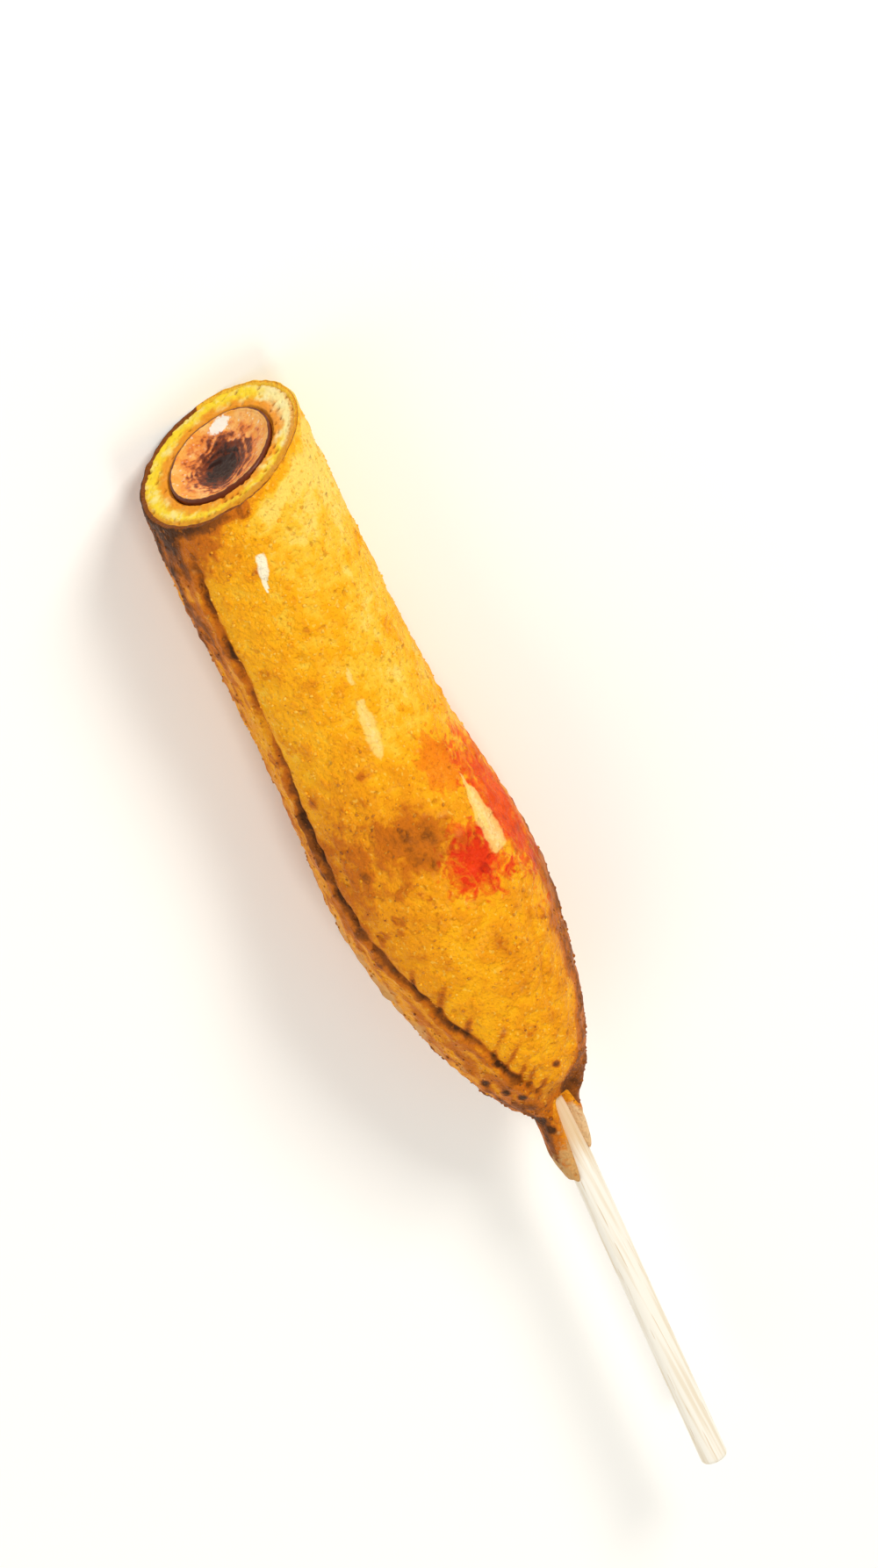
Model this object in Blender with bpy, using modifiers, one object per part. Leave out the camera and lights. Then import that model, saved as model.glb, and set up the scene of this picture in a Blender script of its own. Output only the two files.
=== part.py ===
"""A corn dog lying on its side: a fried cornmeal coat round a sausage, on a round wooden stick.

The coat's far end has been cut off, slightly aslant, so that the sausage shows in it. The other
end tapers to the stick, where the batter ran a little way along the wood before it set.

Frame, in metres: +X runs along the corn dog towards the cut end, +Z is up, and the corn dog rests
on the plane Z = 0, on a narrow flat strip. The origin is the bottom centre of the whole object.
Run with: blender --background --python part.py
"""

import math

import bmesh
import bpy
from mathutils import Matrix, Vector, noise

MM = 0.001

# Coat, measured along the corn dog from the middle of the cut face to the neck at the stick.
CUT_RADIUS = 18.1 * MM
COAT_LENGTH = 151.2 * MM
COAT_TIP = 154.4 * MM  # where the tapering outline would close if the stick weren't there
BELLY_SWELL = 2.9 * MM  # how much thicker the belly is than the cut end
BELLY_AT = 96.5 * MM
BELLY_SPREAD = 22.5 * MM
TAPER_FROM = 81.5 * MM
TAPER_POWER = 3.8
TAPER_ROUNDNESS = 1.24
SIDE_BOW = 2.4 * MM  # the coat bows sideways by about this much
BOW_RISE = 25 * MM  # the length that the bow takes to build up
BOW_LEFT_AT_NECK = 0.85  # the share of it that is left at the neck
FLAT_DEPTH = 0.45 * MM  # how far the underside is flattened where the coat lies on a surface
LUMP_HEIGHT = 0.45 * MM
LUMP_SPACING = 17.0 * MM

# Cut face: its plane leans back towards the stick, upwards and to one side.
CUT_LEAN = 0.29  # metres back for each metre up
CUT_SKEW = 0.17  # metres back for each metre towards +Y

# Sausage
SAUSAGE_RADIUS = 11.4 * MM
SAUSAGE_LENGTH = 131.0 * MM
DISH_DEPTH = 2.4 * MM  # the cut meat is hollowed this deep
CASING_RIM = 1.2 * MM  # the rim round the hollow, at the skin

# Stick: a 7 in length of 5.5 mm birch dowel
STICK_RADIUS = 2.75 * MM
STICK_OUTSIDE = 82.5 * MM
STICK_LENGTH = 178.0 * MM
STICK_YAW = math.radians(2.9)  # the stick leans to +Y as it leaves the coat
STICK_NECK_SHIFT = 0.3 * MM  # where it crosses the neck, off the coat's middle
STICK_END_CHAMFER = 0.6 * MM

# Batter that ran along the stick past the neck: a long tongue and a short flap.
COLLAR_RADIUS = 4.9 * MM
COLLAR_END_RADIUS = 3.9 * MM
COLLAR_ROOT = 11.0 * MM  # how far inside the coat the collar starts
COLLAR_LIP = 1.0 * MM
TONGUE_LENGTH = 15.5 * MM
TONGUE_SWELL = 0.45  # the tongue's end is this share thicker than the flap's
TONGUE_ANGLE = math.radians(62)  # from straight up, towards +Y
TONGUE_SPREAD = math.radians(46)
FLAP_LENGTH = 9.5 * MM
FLAP_ANGLE = math.radians(-78)
FLAP_SPREAD = math.radians(26)

CLEARANCE = 0.3 * MM  # the gap that each piece keeps to its neighbour
COAT_SIDES = 60
COAT_RINGS = 40
SAUSAGE_SIDES = 44
STICK_SIDES = 32
MERGE = 0.00001

CRUST_COLOUR = (0.87, 0.40, 0.02, 1.0)
MEAT_COLOUR = (0.78, 0.28, 0.10, 1.0)
WOOD_COLOUR = (0.80, 0.66, 0.44, 1.0)


def clear_scene():
    for old in list(bpy.data.objects):
        bpy.data.objects.remove(old, do_unlink=True)


def new_collection(name):
    made = bpy.data.collections.new(name)
    bpy.context.scene.collection.children.link(made)
    return made


def new_material(name, colour, roughness):
    made = bpy.data.materials.new(name)
    made.use_nodes = True
    shader = made.node_tree.nodes["Principled BSDF"]
    shader.inputs["Base Color"].default_value = colour
    shader.inputs["Roughness"].default_value = roughness
    shader.inputs["Metallic"].default_value = 0.0
    return made


def new_object(name, mesh, collection):
    made = bpy.data.objects.new(name, mesh)
    collection.objects.link(made)
    return made


def helper(obj):
    """Marks a cutter, which shapes a piece and isn't one."""
    obj.hide_render = True
    obj.display_type = "WIRE"
    return obj


def turned(name, outline, sides, collection):
    """A solid turned about Z from (radius, height) points that run down its outer side."""
    mesh = bpy.data.meshes.new(name)
    edges = [(i, i + 1) for i in range(len(outline) - 1)]
    mesh.from_pydata([(radius, 0, height) for radius, height in outline], edges, [])
    made = new_object(name, mesh, collection)
    screw = made.modifiers.new("Turn", "SCREW")
    screw.steps = screw.render_steps = sides
    screw.use_merge_vertices = True
    screw.merge_threshold = MERGE
    graph = bpy.context.evaluated_depsgraph_get()
    made.data = bpy.data.meshes.new_from_object(made.evaluated_get(graph))
    made.modifiers.clear()
    return made


def lay_along_x(obj, matrix=Matrix.Identity(4)):
    """Turns a shape made along Z so that its top points to +X, then places it."""
    obj.data.transform(matrix @ Matrix.Rotation(math.pi / 2, 4, "Y"))
    return obj


def shape_points(obj, move):
    for vertex in obj.data.vertices:
        vertex.co = move(vertex.co)


def boolean(obj, other, operation="DIFFERENCE"):
    cut = obj.modifiers.new(operation.title() + " " + other.name, "BOOLEAN")
    cut.operation = operation
    cut.object = other
    cut.solver = "EXACT"


def shade(obj, material, crease_deg=35):
    obj.data.materials.clear()
    obj.data.materials.append(material)
    obj.data.shade_smooth()
    obj.data.set_sharp_from_angle(angle=math.radians(crease_deg))


# Outline of the coat. "along" is the distance from the middle of the cut face towards the stick.


def coat_radius(along):
    swell = BELLY_SWELL * math.exp(-(((along - BELLY_AT) / BELLY_SPREAD) ** 2))
    into_taper = (along - TAPER_FROM) / (COAT_TIP - TAPER_FROM)
    into_taper = min(max(into_taper, 0.0), 1.0)
    closing = (1 - into_taper**TAPER_POWER) ** (1 / TAPER_ROUNDNESS)
    return (CUT_RADIUS + swell) * closing


def coat_height(along):
    """Height of the coat's middle line: it keeps the underside level as far as the belly."""
    return coat_radius(min(along, BELLY_AT)) - FLAT_DEPTH


def coat_side(along):
    """Sideways place of the coat's middle line, which bows towards +Y."""
    along = min(max(along, 0.0), COAT_LENGTH)
    fading = 1 - (1 - BOW_LEFT_AT_NECK) * (along / COAT_LENGTH) ** 2
    return SIDE_BOW * (1 - math.exp(-along / BOW_RISE)) * fading


def coat_middle(along):
    return Vector((-along, coat_side(along), coat_height(along)))


def core_line():
    """The straight line that the sausage lies on: (middle of the cut, direction to the stick)."""
    start = coat_middle(0)
    return start, (coat_middle(COAT_LENGTH) - start).normalized()


def core_matrix():
    """Places a shape made along +X, with its cut end at X = 0, on the sausage's line."""
    start, direction = core_line()
    return Matrix.Translation(start) @ (-direction).to_track_quat("X", "Z").to_matrix().to_4x4()


def stick_matrix():
    """Places a shape made along +X on the stick's line, with X = 0 at the neck."""
    _, direction = core_line()
    neck = coat_middle(COAT_LENGTH) + Vector((0, STICK_NECK_SHIFT, 0))
    slope = (-direction).to_track_quat("X", "Z").to_matrix().to_4x4()
    return Matrix.Translation(neck) @ Matrix.Rotation(-STICK_YAW, 4, "Z") @ slope


def cut_normal():
    return Vector((1, CUT_SKEW, CUT_LEAN)).normalized()


def make_coat_blank(collection):
    """The whole coat before it is cut: turned, then bowed, made uneven and set down."""
    overrun = 16 * MM  # past the cut face, to be cut away
    outline = [(0, overrun)]
    for ring in range(COAT_RINGS + 1):
        share = ring / COAT_RINGS
        # Rings lie closer together where the outline curves in to the stick.
        along = -overrun + (COAT_TIP + overrun) * math.sin(share * math.pi / 2) ** 0.8
        outline.append((coat_radius(along), -along))
    coat = turned("batter_coat", outline, COAT_SIDES, collection)
    lay_along_x(coat)

    def uneven(point):
        along = -point.x
        spot = point / LUMP_SPACING
        swell = 1 + LUMP_HEIGHT / CUT_RADIUS * noise.noise(Vector((spot.x * 0.6, spot.y, spot.z)))
        middle = coat_middle(along)
        return Vector((point.x, middle.y + point.y * swell, middle.z + point.z * swell))

    shape_points(coat, uneven)
    return coat


def make_collar(collection):
    """The batter round the stick past the neck, which ends in a tongue and a flap."""
    rings = 14
    inner = STICK_RADIUS * 0.8
    outline = [(0, COLLAR_ROOT), (COLLAR_RADIUS, COLLAR_ROOT)]
    for ring in range(rings + 1):
        share = ring / rings
        rounding = math.sqrt(1 - share**6)
        radius = COLLAR_END_RADIUS + (COLLAR_RADIUS - COLLAR_END_RADIUS) * (1 - share)
        outline.append((inner + (radius - inner) * rounding, -share))
    outline.append((0, -1.0))
    collar = turned("collar", outline, COAT_SIDES, collection)
    lay_along_x(collar)

    def near_angle(angle, middle, spread):
        return math.exp(-(((angle - middle) / spread) ** 4))

    def run_along_stick(point):
        if point.x >= 0:
            return point
        angle = math.atan2(point.y, point.z)
        tongue = near_angle(angle, TONGUE_ANGLE, TONGUE_SPREAD)
        flap = near_angle(angle, FLAP_ANGLE, FLAP_SPREAD)
        length = COLLAR_LIP + TONGUE_LENGTH * tongue + FLAP_LENGTH * flap
        radius = math.hypot(point.y, point.z)
        swell = 1 + TONGUE_SWELL * tongue * min(-point.x * 2, 1.0)
        wider = (inner + (radius - inner) * swell) / radius if radius > inner else 1.0
        return Vector((point.x * length, point.y * wider, point.z * wider))

    shape_points(collar, run_along_stick)
    collar.data.transform(stick_matrix())
    return helper(collar)


def rod(name, radius, chamfer, near, far, sides, collection):
    """A round rod with chamfered ends on the stick's line, from X = near to X = far."""
    outline = [
        (0, near),
        (radius - chamfer, near),
        (radius, near - chamfer),
        (radius, far + chamfer),
        (radius - chamfer, far),
        (0, far),
    ]
    return lay_along_x(turned(name, outline, sides, collection), stick_matrix())


def sausage_shape(name, radius, near, end_gap, collection):
    """A round bar from X = near to the rounded end of the sausage, on the sausage's line."""
    dome_steps = 8
    far = -SAUSAGE_LENGTH - end_gap
    outline = [(0, near), (radius, near)]
    for step in range(dome_steps + 1):
        turn = step / dome_steps * math.pi / 2
        outline.append((radius * math.cos(turn), far + radius * (1 - math.sin(turn))))
    outline[-1] = (0, far)
    return lay_along_x(turned(name, outline, SAUSAGE_SIDES, collection), core_matrix())


def box_cutter(name, size, collection):
    """A cube whose lowest face lies on its own Z = 0 plane."""
    mesh = bpy.data.meshes.new(name)
    shape = bmesh.new()
    bmesh.ops.create_cube(shape, size=size)
    bmesh.ops.translate(shape, verts=shape.verts, vec=(0, 0, size / 2))
    shape.to_mesh(mesh)
    shape.free()
    return helper(new_object(name, mesh, collection))


def make_cut_block(collection):
    """What the knife took away: everything beyond the cut plane."""
    block = box_cutter("cut_block", 80 * MM, collection)
    turn = cut_normal().to_track_quat("Z", "Y").to_matrix().to_4x4()
    block.data.transform(Matrix.Translation(coat_middle(0)) @ turn)
    return block


def make_surface_block(collection):
    """The surface that the corn dog lies on, which flattens its underside."""
    block = box_cutter("surface_block", 400 * MM, collection)
    block.data.transform(Matrix.Rotation(math.pi, 4, "X"))
    return block


def make_dish(collection):
    """A ball that hollows the cut end of the sausage."""
    rim = SAUSAGE_RADIUS - CASING_RIM
    ball = (rim**2 + DISH_DEPTH**2) / (2 * DISH_DEPTH)
    mesh = bpy.data.meshes.new("dish")
    shape = bmesh.new()
    bmesh.ops.create_uvsphere(shape, u_segments=48, v_segments=48, radius=ball)
    shape.to_mesh(mesh)
    shape.free()
    mesh.shade_smooth()
    dish = helper(new_object("dish", mesh, collection))
    turn = cut_normal().to_track_quat("Z", "Y").to_matrix().to_4x4()
    middle = coat_middle(0) + cut_normal() * (ball - DISH_DEPTH)
    dish.data.transform(Matrix.Translation(middle) @ turn)
    return dish


def make_coat(parts, cutters, cut_block, material):
    coat = make_coat_blank(parts)
    boolean(coat, make_collar(cutters), "UNION")
    boolean(coat, cut_block)
    boolean(coat, make_surface_block(cutters))
    beyond_cut = 30 * MM
    core = sausage_shape(
        "sausage_hole", SAUSAGE_RADIUS + CLEARANCE, beyond_cut, CLEARANCE, cutters
    )
    boolean(coat, helper(core))
    hole_end = -STICK_OUTSIDE
    hole = rod(
        "neck_hole", STICK_RADIUS + CLEARANCE, 0.1 * MM, 40 * MM, hole_end, STICK_SIDES, cutters
    )
    boolean(coat, helper(hole))
    shade(coat, material)
    return coat


def make_sausage(parts, cutters, cut_block, material):
    beyond_cut = 20 * MM
    sausage = sausage_shape("sausage", SAUSAGE_RADIUS, beyond_cut, 0, parts)
    boolean(sausage, cut_block)
    boolean(sausage, make_dish(cutters))
    buried_end = STICK_LENGTH - STICK_OUTSIDE
    hole = rod(
        "meat_hole",
        STICK_RADIUS + CLEARANCE,
        STICK_END_CHAMFER,
        buried_end + CLEARANCE,
        -STICK_OUTSIDE,
        STICK_SIDES,
        cutters,
    )
    boolean(sausage, helper(hole))
    shade(sausage, material)
    return sausage


def make_stick(parts, material):
    buried_end = STICK_LENGTH - STICK_OUTSIDE
    stick = rod(
        "stick", STICK_RADIUS, STICK_END_CHAMFER, buried_end, -STICK_OUTSIDE, STICK_SIDES, parts
    )
    shade(stick, material)
    return stick


def centre_on_origin(pieces):
    """Hangs the pieces on an empty that brings the bottom centre of the whole to the origin."""
    bpy.context.view_layer.update()
    graph = bpy.context.evaluated_depsgraph_get()
    corners = [
        piece.evaluated_get(graph).matrix_world @ Vector(corner)
        for piece in pieces
        for corner in piece.evaluated_get(graph).bound_box
    ]
    low = Vector(min(corner[axis] for corner in corners) for axis in range(3))
    high = Vector(max(corner[axis] for corner in corners) for axis in range(3))
    root = bpy.data.objects.new("corn_dog", None)
    pieces[0].users_collection[0].objects.link(root)
    root.location = (-(low.x + high.x) / 2, -(low.y + high.y) / 2, -low.z)
    for piece in pieces:
        piece.parent = root
    return root


def main():
    clear_scene()
    parts = new_collection("corn dog")
    cutters = new_collection("cutters")
    cut_block = make_cut_block(cutters)
    pieces = [
        make_coat(parts, cutters, cut_block, new_material("Fried batter", CRUST_COLOUR, 0.55)),
        make_sausage(parts, cutters, cut_block, new_material("Sausage meat", MEAT_COLOUR, 0.45)),
        make_stick(parts, new_material("Birch", WOOD_COLOUR, 0.6)),
    ]
    root = centre_on_origin(pieces)
    # The Booleans work in world space, so the cutters move with the pieces.
    for cutter in cutters.objects:
        cutter.parent = root


main()
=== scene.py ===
"""The looks of a corn dog that lies on its side with its far end cut off: a sausage on a birch stick,
in a golden fried cornmeal coat. Everything is in metres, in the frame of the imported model: +X runs
along the corn dog towards the cut, +Y is to its left, +Z is up, and it lies on Z = 0.
"""

import math

import bpy
import numpy as np
from mathutils import Matrix, Quaternion, Vector, kdtree, noise


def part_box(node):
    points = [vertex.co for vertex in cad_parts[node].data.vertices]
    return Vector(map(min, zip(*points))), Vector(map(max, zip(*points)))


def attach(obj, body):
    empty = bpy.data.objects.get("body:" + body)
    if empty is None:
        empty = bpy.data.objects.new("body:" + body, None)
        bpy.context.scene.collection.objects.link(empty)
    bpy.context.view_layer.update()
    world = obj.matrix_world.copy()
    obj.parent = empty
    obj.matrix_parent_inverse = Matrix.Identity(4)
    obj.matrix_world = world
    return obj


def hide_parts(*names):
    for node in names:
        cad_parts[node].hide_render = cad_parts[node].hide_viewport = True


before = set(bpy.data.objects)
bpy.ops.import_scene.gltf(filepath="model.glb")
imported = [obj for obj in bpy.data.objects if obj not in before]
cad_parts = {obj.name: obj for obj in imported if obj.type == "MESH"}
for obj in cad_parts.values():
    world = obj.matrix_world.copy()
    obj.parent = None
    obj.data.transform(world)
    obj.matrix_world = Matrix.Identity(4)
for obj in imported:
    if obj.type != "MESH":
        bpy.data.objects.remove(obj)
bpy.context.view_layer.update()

# ---------------------------------------------------------------------------------------------
# Sausage. A cooked frankfurter of fine pork in a thin smoked skin, which is dipped on its stick.
# The knife that took its end off left the meat sunk inside the skin and rough, with a hollow in the
# middle that is painted dark: partly darker meat, partly painted shade. An outline is spun round the
# sausage's line, and then the cut is worked.
# ---------------------------------------------------------------------------------------------

MM = 0.001
CUT_MIDDLE = Vector((0.11376, -0.00218, 0.01765))
NECK_MIDDLE = Vector((-0.03744, -0.00014, 0.02051))
CUT_LEAN = 0.29  # the cut runs this far back for each metre up
CUT_SKEW = 0.17  # and this far back for each metre to the left
CUT_FADE = 26 * MM  # rings this far from the cut no longer follow its slant

SAUSAGE_RADIUS = 11.4 * MM
SAUSAGE_LENGTH = 131 * MM
SAUSAGE_SIDES = 176
DISH_DEPTH = 2.0 * MM
DISH_RINGS = 50
SKIN_WIDTH = 0.8 * MM
SKIN_PROUD = 0.3 * MM
HOLLOW_WIDE = 6.8 * MM  # radii of the dark middle
HOLLOW_TALL = 7.2 * MM
HOLLOW_ASIDE = 0.2 * MM
DRAG_SPACING = 0.19  # of the knife's rings, as a share of the dark middle's radius

MEAT_SALMON = "FAAB42"
MEAT_PALE = "FEC572"
MEAT_ROSE = "E0641E"
DARK_MEAT_AND_SHADE = "6A2608"
HOLLOW_SHADE_BLACK = "260B02"
SKIN_BROWN = "6A2E12"
FAT_FLECK = "FCE3BE"
FAT_GLINT_WHITE = "FFF9EE"
# A painted highlight near the skin, shaped as a white fleck of fat.
GLINT_MIDDLE = (0.1167, -0.0046, 0.0087)  # a bit of white fat near the skin
GLINT_REACH = (0.0030, 0.0026, 0.0016)


def linear(code):
    """An sRGB hex colour as the linear red, green, blue and alpha that shaders take."""
    parts = [int(code[at : at + 2], 16) / 255 for at in (0, 2, 4)]
    return [p / 12.92 if p <= 0.04045 else ((p + 0.055) / 1.055) ** 2.4 for p in parts] + [1.0]


def new_material(name, roughness, specular=0.5):
    """A material with only a Principled shader: (material, node tree, shader)."""
    made = bpy.data.materials.new(name)
    made.use_nodes = True
    shader = made.node_tree.nodes["Principled BSDF"]
    shader.inputs["Roughness"].default_value = roughness
    shader.inputs["Specular IOR Level"].default_value = specular
    return made, made.node_tree, shader


def add(tree, kind, sockets=None, **settings):
    """Adds a node with its settings. A socket takes a value, another node or one of its outputs."""
    made = tree.nodes.new("ShaderNode" + kind)
    for name, value in settings.items():
        setattr(made, name, value)
    for socket, value in (sockets or {}).items():
        if isinstance(value, bpy.types.Node):
            value = next(output for output in value.outputs if output.enabled)
        if isinstance(value, bpy.types.NodeSocket):
            tree.links.new(value, made.inputs[socket])
        else:
            made.inputs[socket].default_value = value
    return made


def tinted(tree, colour, layers, blend="MIX"):
    """Lays colours over one another. Each layer has what drives it, the values of that where it
    starts and where it is full, its strength, and its colour."""
    for drive, starts, full, strength, tint in layers:
        spread = {0: drive, 1: starts, 2: full, 4: strength}
        share = add(tree, "MapRange", spread, interpolation_type="SMOOTHSTEP")
        sockets = {0: share, 6: colour, 7: linear(tint)}
        colour = add(tree, "Mix", sockets, data_type="RGBA", blend_type=blend)
    return colour


def deselect():
    for other in bpy.context.selected_objects:
        other.select_set(False)


def spun(name, outline, sides):
    """Spins an outline of (distance from the cut, radius) points round the X axis. It is closed,
    except that an edge on the axis itself is left out."""
    deselect()
    bpy.ops.mesh.primitive_circle_add(vertices=len(outline), radius=SAUSAGE_RADIUS)
    piece = bpy.context.object
    piece.name = piece.data.name = name
    for vertex, point in zip(piece.data.vertices, outline):
        vertex.co = (-point[0], 0, point[1])
    on_axis = [all(outline[end][1] == 0 for end in edge.vertices) for edge in piece.data.edges]
    bpy.ops.object.mode_set(mode="EDIT")
    bpy.ops.mesh.select_mode(type="EDGE")
    bpy.ops.mesh.select_all(action="DESELECT")
    bpy.ops.object.mode_set(mode="OBJECT")
    piece.data.edges.foreach_set("select", on_axis)
    bpy.ops.object.mode_set(mode="EDIT")
    bpy.ops.mesh.delete(type="EDGE")
    bpy.ops.mesh.select_mode(type="VERT")
    bpy.ops.mesh.select_all(action="SELECT")
    bpy.ops.mesh.spin(steps=sides, angle=2 * math.pi, center=(0, 0, 0), axis=(1, 0, 0))
    bpy.ops.mesh.select_all(action="SELECT")
    bpy.ops.mesh.remove_doubles(threshold=0.00001)
    bpy.ops.mesh.normals_make_consistent(inside=False)
    bpy.ops.object.mode_set(mode="OBJECT")
    bpy.ops.object.shade_smooth()
    return piece


def points_of(piece, reading="co"):
    """A piece's points, one row each, or with "normal" the directions that they face."""
    rows = np.empty(len(piece.data.vertices) * 3)
    piece.data.vertices.foreach_get(reading, rows)
    return rows.reshape(-1, 3)


def set_points(piece, points):
    piece.data.vertices.foreach_set("co", np.ascontiguousarray(points).ravel())
    piece.data.update()


def set_value(piece, name, values):
    """Keeps a number for each point, for the material to read."""
    layer = piece.data.attributes.new(name, "FLOAT", "POINT")
    layer.data.foreach_set("value", np.asarray(values, dtype=np.float32))


def noise_at(points, size, seed=0.0, stretch=(1, 1, 1)):
    """Smooth noise from -1 to 1 at each point, with features of about this size in metres."""
    scaled = points / (size * np.array(stretch)) + seed
    return np.array([noise.noise(Vector(point)) for point in scaled])


def smooth_step(values, start, end):
    share = np.clip((values - start) / (end - start), 0, 1)
    return share * share * (3 - 2 * share)


def slant(points):
    """Lets the rings near the cut lean with its plane."""
    fade = 1 - smooth_step(-points[:, 0], 0, CUT_FADE)
    points[:, 0] -= fade * (CUT_LEAN * points[:, 2] + CUT_SKEW * points[:, 1])


def core_place(along):
    """The middle of the sausage, at distances from the cut."""
    step = (NECK_MIDDLE - CUT_MIDDLE) / (CUT_MIDDLE.x - NECK_MIDDLE.x)
    return np.array(CUT_MIDDLE) + np.outer(along, np.array(step))


def sausage_outline():
    rim = SAUSAGE_RADIUS - SKIN_WIDTH
    points = []
    for ring in range(DISH_RINGS + 1):
        radius = rim * ring / DISH_RINGS
        points.append((DISH_DEPTH * (1 - (radius / rim) ** 2) ** 0.8, radius))
    for turn in np.linspace(0.12, 0.88, 5) * math.pi:
        bulge = SKIN_WIDTH / 2
        points.append((-SKIN_PROUD * math.sin(turn), rim + bulge - bulge * math.cos(turn)))
    straight = SAUSAGE_LENGTH - SAUSAGE_RADIUS
    points += [(along, SAUSAGE_RADIUS) for along in np.geomspace(0.2 * MM, straight, 26)]
    for turn in np.linspace(0, math.pi / 2, 12)[1:]:
        radius = SAUSAGE_RADIUS * math.cos(turn)
        points.append((straight + SAUSAGE_RADIUS * math.sin(turn), radius if turn < 1.57 else 0))
    return points


sausage = spun("cut_sausage", sausage_outline(), SAUSAGE_SIDES)
points = points_of(sausage)
radius = np.hypot(points[:, 1], points[:, 2])
on_cut = (points[:, 0] > -DISH_DEPTH - 0.1 * MM) & (radius < 0.985 * SAUSAGE_RADIUS)
# The dark middle is a ragged hollow. Rings round it are where the knife dragged at the meat.
aside, above = points[:, 1] - HOLLOW_ASIDE, points[:, 2] + HOLLOW_ASIDE
core = np.hypot(aside / HOLLOW_WIDE, above / HOLLOW_TALL)
core += 0.22 * noise_at(points, 6 * MM, 3.1) + 0.05 * noise_at(points, 1.2 * MM, 6.4)
hollow = 1 - smooth_step(core, 0.15, 1.0)
drag = np.sin(2 * math.pi * core / DRAG_SPACING + 5.0 * noise_at(points, 4 * MM, 1.7))
drag *= 0.6 + 0.8 * noise_at(points, 2.5 * MM, 2.9)
drag *= 0.09 * smooth_step(core, 0.1, 0.4) * (1 - smooth_step(core, 0.9, 1.5))
grain = 0.20 * noise_at(points, 1.5 * MM, 7.7) + 0.12 * noise_at(points, 0.7 * MM, 9.2)
points[:, 0] += on_cut * MM * (grain + drag - 1.0 * hollow)
on_skin = (points[:, 0] > -0.5 * MM) & (radius > 0.92 * SAUSAGE_RADIUS)
points[:, 0] += on_skin * MM * (0.18 * noise_at(points, 4 * MM, 2.2) - 0.1)
set_value(sausage, "core", np.where(on_cut, core, 3))
set_value(sausage, "drag", np.where(on_cut, drag + 0.5 * grain, 0))
set_value(sausage, "skin", smooth_step(radius, SAUSAGE_RADIUS - 0.65 * MM, SAUSAGE_RADIUS - 0.3 * MM))
along = -points[:, 0]
slant(points)
centre = core_place(along)
points[:, 0] += CUT_MIDDLE.x
points[:, 1:] += centre[:, 1:]
set_points(sausage, points)

# Cooked sausage meat: fine, moist and salmon pink, with pale flecks of fat, redder round the dark
# middle. Its moisture gives soft highlights. The smoked skin is a thin red-brown line round it. The
# brown to near-black middle, with its dark rings, is partly darker meat and partly painted shade of
# the hollow, and a white fleck near the skin is a painted highlight.
meat, tree, shader = new_material("Cooked sausage meat", 0.42, 0.22)
place = add(tree, "TexCoord").outputs["Object"]
core = add(tree, "Attribute", attribute_name="core").outputs["Fac"]
drag = add(tree, "Attribute", attribute_name="drag").outputs["Fac"]
skin = add(tree, "Attribute", attribute_name="skin").outputs["Fac"]
mottle = add(tree, "TexNoise", {"Vector": place, "Scale": 1 / (3.0 * MM), "Detail": 4.0})
fine = add(tree, "TexNoise", {"Vector": place, "Scale": 1 / (0.6 * MM), "Detail": 3.0})
flecks = add(tree, "TexVoronoi", {"Vector": place, "Scale": 1 / (1.2 * MM)})
ragged = add(tree, "Math", {0: fine, 1: 0.70, 2: core}, operation="MULTIPLY_ADD")
ragged = add(tree, "Math", {0: mottle, 1: 0.60, 2: ragged}, operation="MULTIPLY_ADD")
torn = add(tree, "Math", {0: drag, 1: -2.6, 2: ragged}, operation="MULTIPLY_ADD")
# A painted highlight: a near-white fleck, shaped as fat, where the moist meat would catch the light.
white = {"Vector": place, "Location": GLINT_MIDDLE, "Scale": GLINT_REACH}
white = add(tree, "Mapping", white, vector_type="TEXTURE")
white = add(tree, "VectorMath", {0: white}, operation="LENGTH")
white = add(tree, "Math", {0: fine, 1: 0.9, 2: white}, operation="MULTIPLY_ADD")
colour = tinted(tree, linear(MEAT_SALMON), (
    (mottle, 0.40, 0.68, 1.0, MEAT_PALE),
    (fine, 0.50, 0.72, 0.40, MEAT_ROSE),
    (flecks, 0.26, 0.16, 0.70, FAT_FLECK),
    (torn, 2.05, 1.70, 0.75, MEAT_ROSE),
    # The brown and near-black layers are painted shade in the hollow and its rings, over meat that is
    # darker there too.
    (torn, 1.82, 1.45, 0.95, DARK_MEAT_AND_SHADE),
    (torn, 1.45, 1.05, 0.96, HOLLOW_SHADE_BLACK),
    (white, 1.50, 1.25, 0.92, FAT_GLINT_WHITE),
    (skin, 0.20, 0.80, 1.0, SKIN_BROWN),
))
tree.links.new(colour.outputs[2], shader.inputs["Base Color"])
shine = add(tree, "MapRange", {0: fine, 1: 0.3, 2: 0.7, 3: 0.30, 4: 0.52})
tree.links.new(shine.outputs[0], shader.inputs["Roughness"])
shader.inputs["Subsurface Weight"].default_value = 0.1
shader.inputs["Subsurface Radius"].default_value = (0.0024, 0.0009, 0.0005)
shader.inputs["Subsurface Scale"].default_value = 1.0
shader.inputs["Coat Weight"].default_value = 0.07
shader.inputs["Coat Roughness"].default_value = 0.2
bump = add(tree, "Bump", {"Height": fine, "Strength": 0.5, "Distance": 0.15 * MM})
tree.links.new(bump.outputs[0], shader.inputs["Normal"])
sausage.data.materials.append(meat)
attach(sausage, "root")
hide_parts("sausage")

# ---------------------------------------------------------------------------------------------
# Stick. A plain birch dowel, sawn to length and tumbled so that its ends are rounded. It is
# pushed far into the sausage before the batter goes on. The grain leaves very slight flutes.
# ---------------------------------------------------------------------------------------------

STICK_RADIUS = 2.75 * MM
STICK_SIDES = 72
STICK_END_ROUND = 0.9 * MM
STICK_RINGS = 120
FLUTE_DEPTH = 0.055 * MM
WAVE_DEPTH = 0.05 * MM

BIRCH_PALE = "F3EEE2"
BIRCH_GRAIN = "E2D4BA"
BIRCH_PORE = "C7A26C"
BIRCH_OILED = "D9AE6C"

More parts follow.
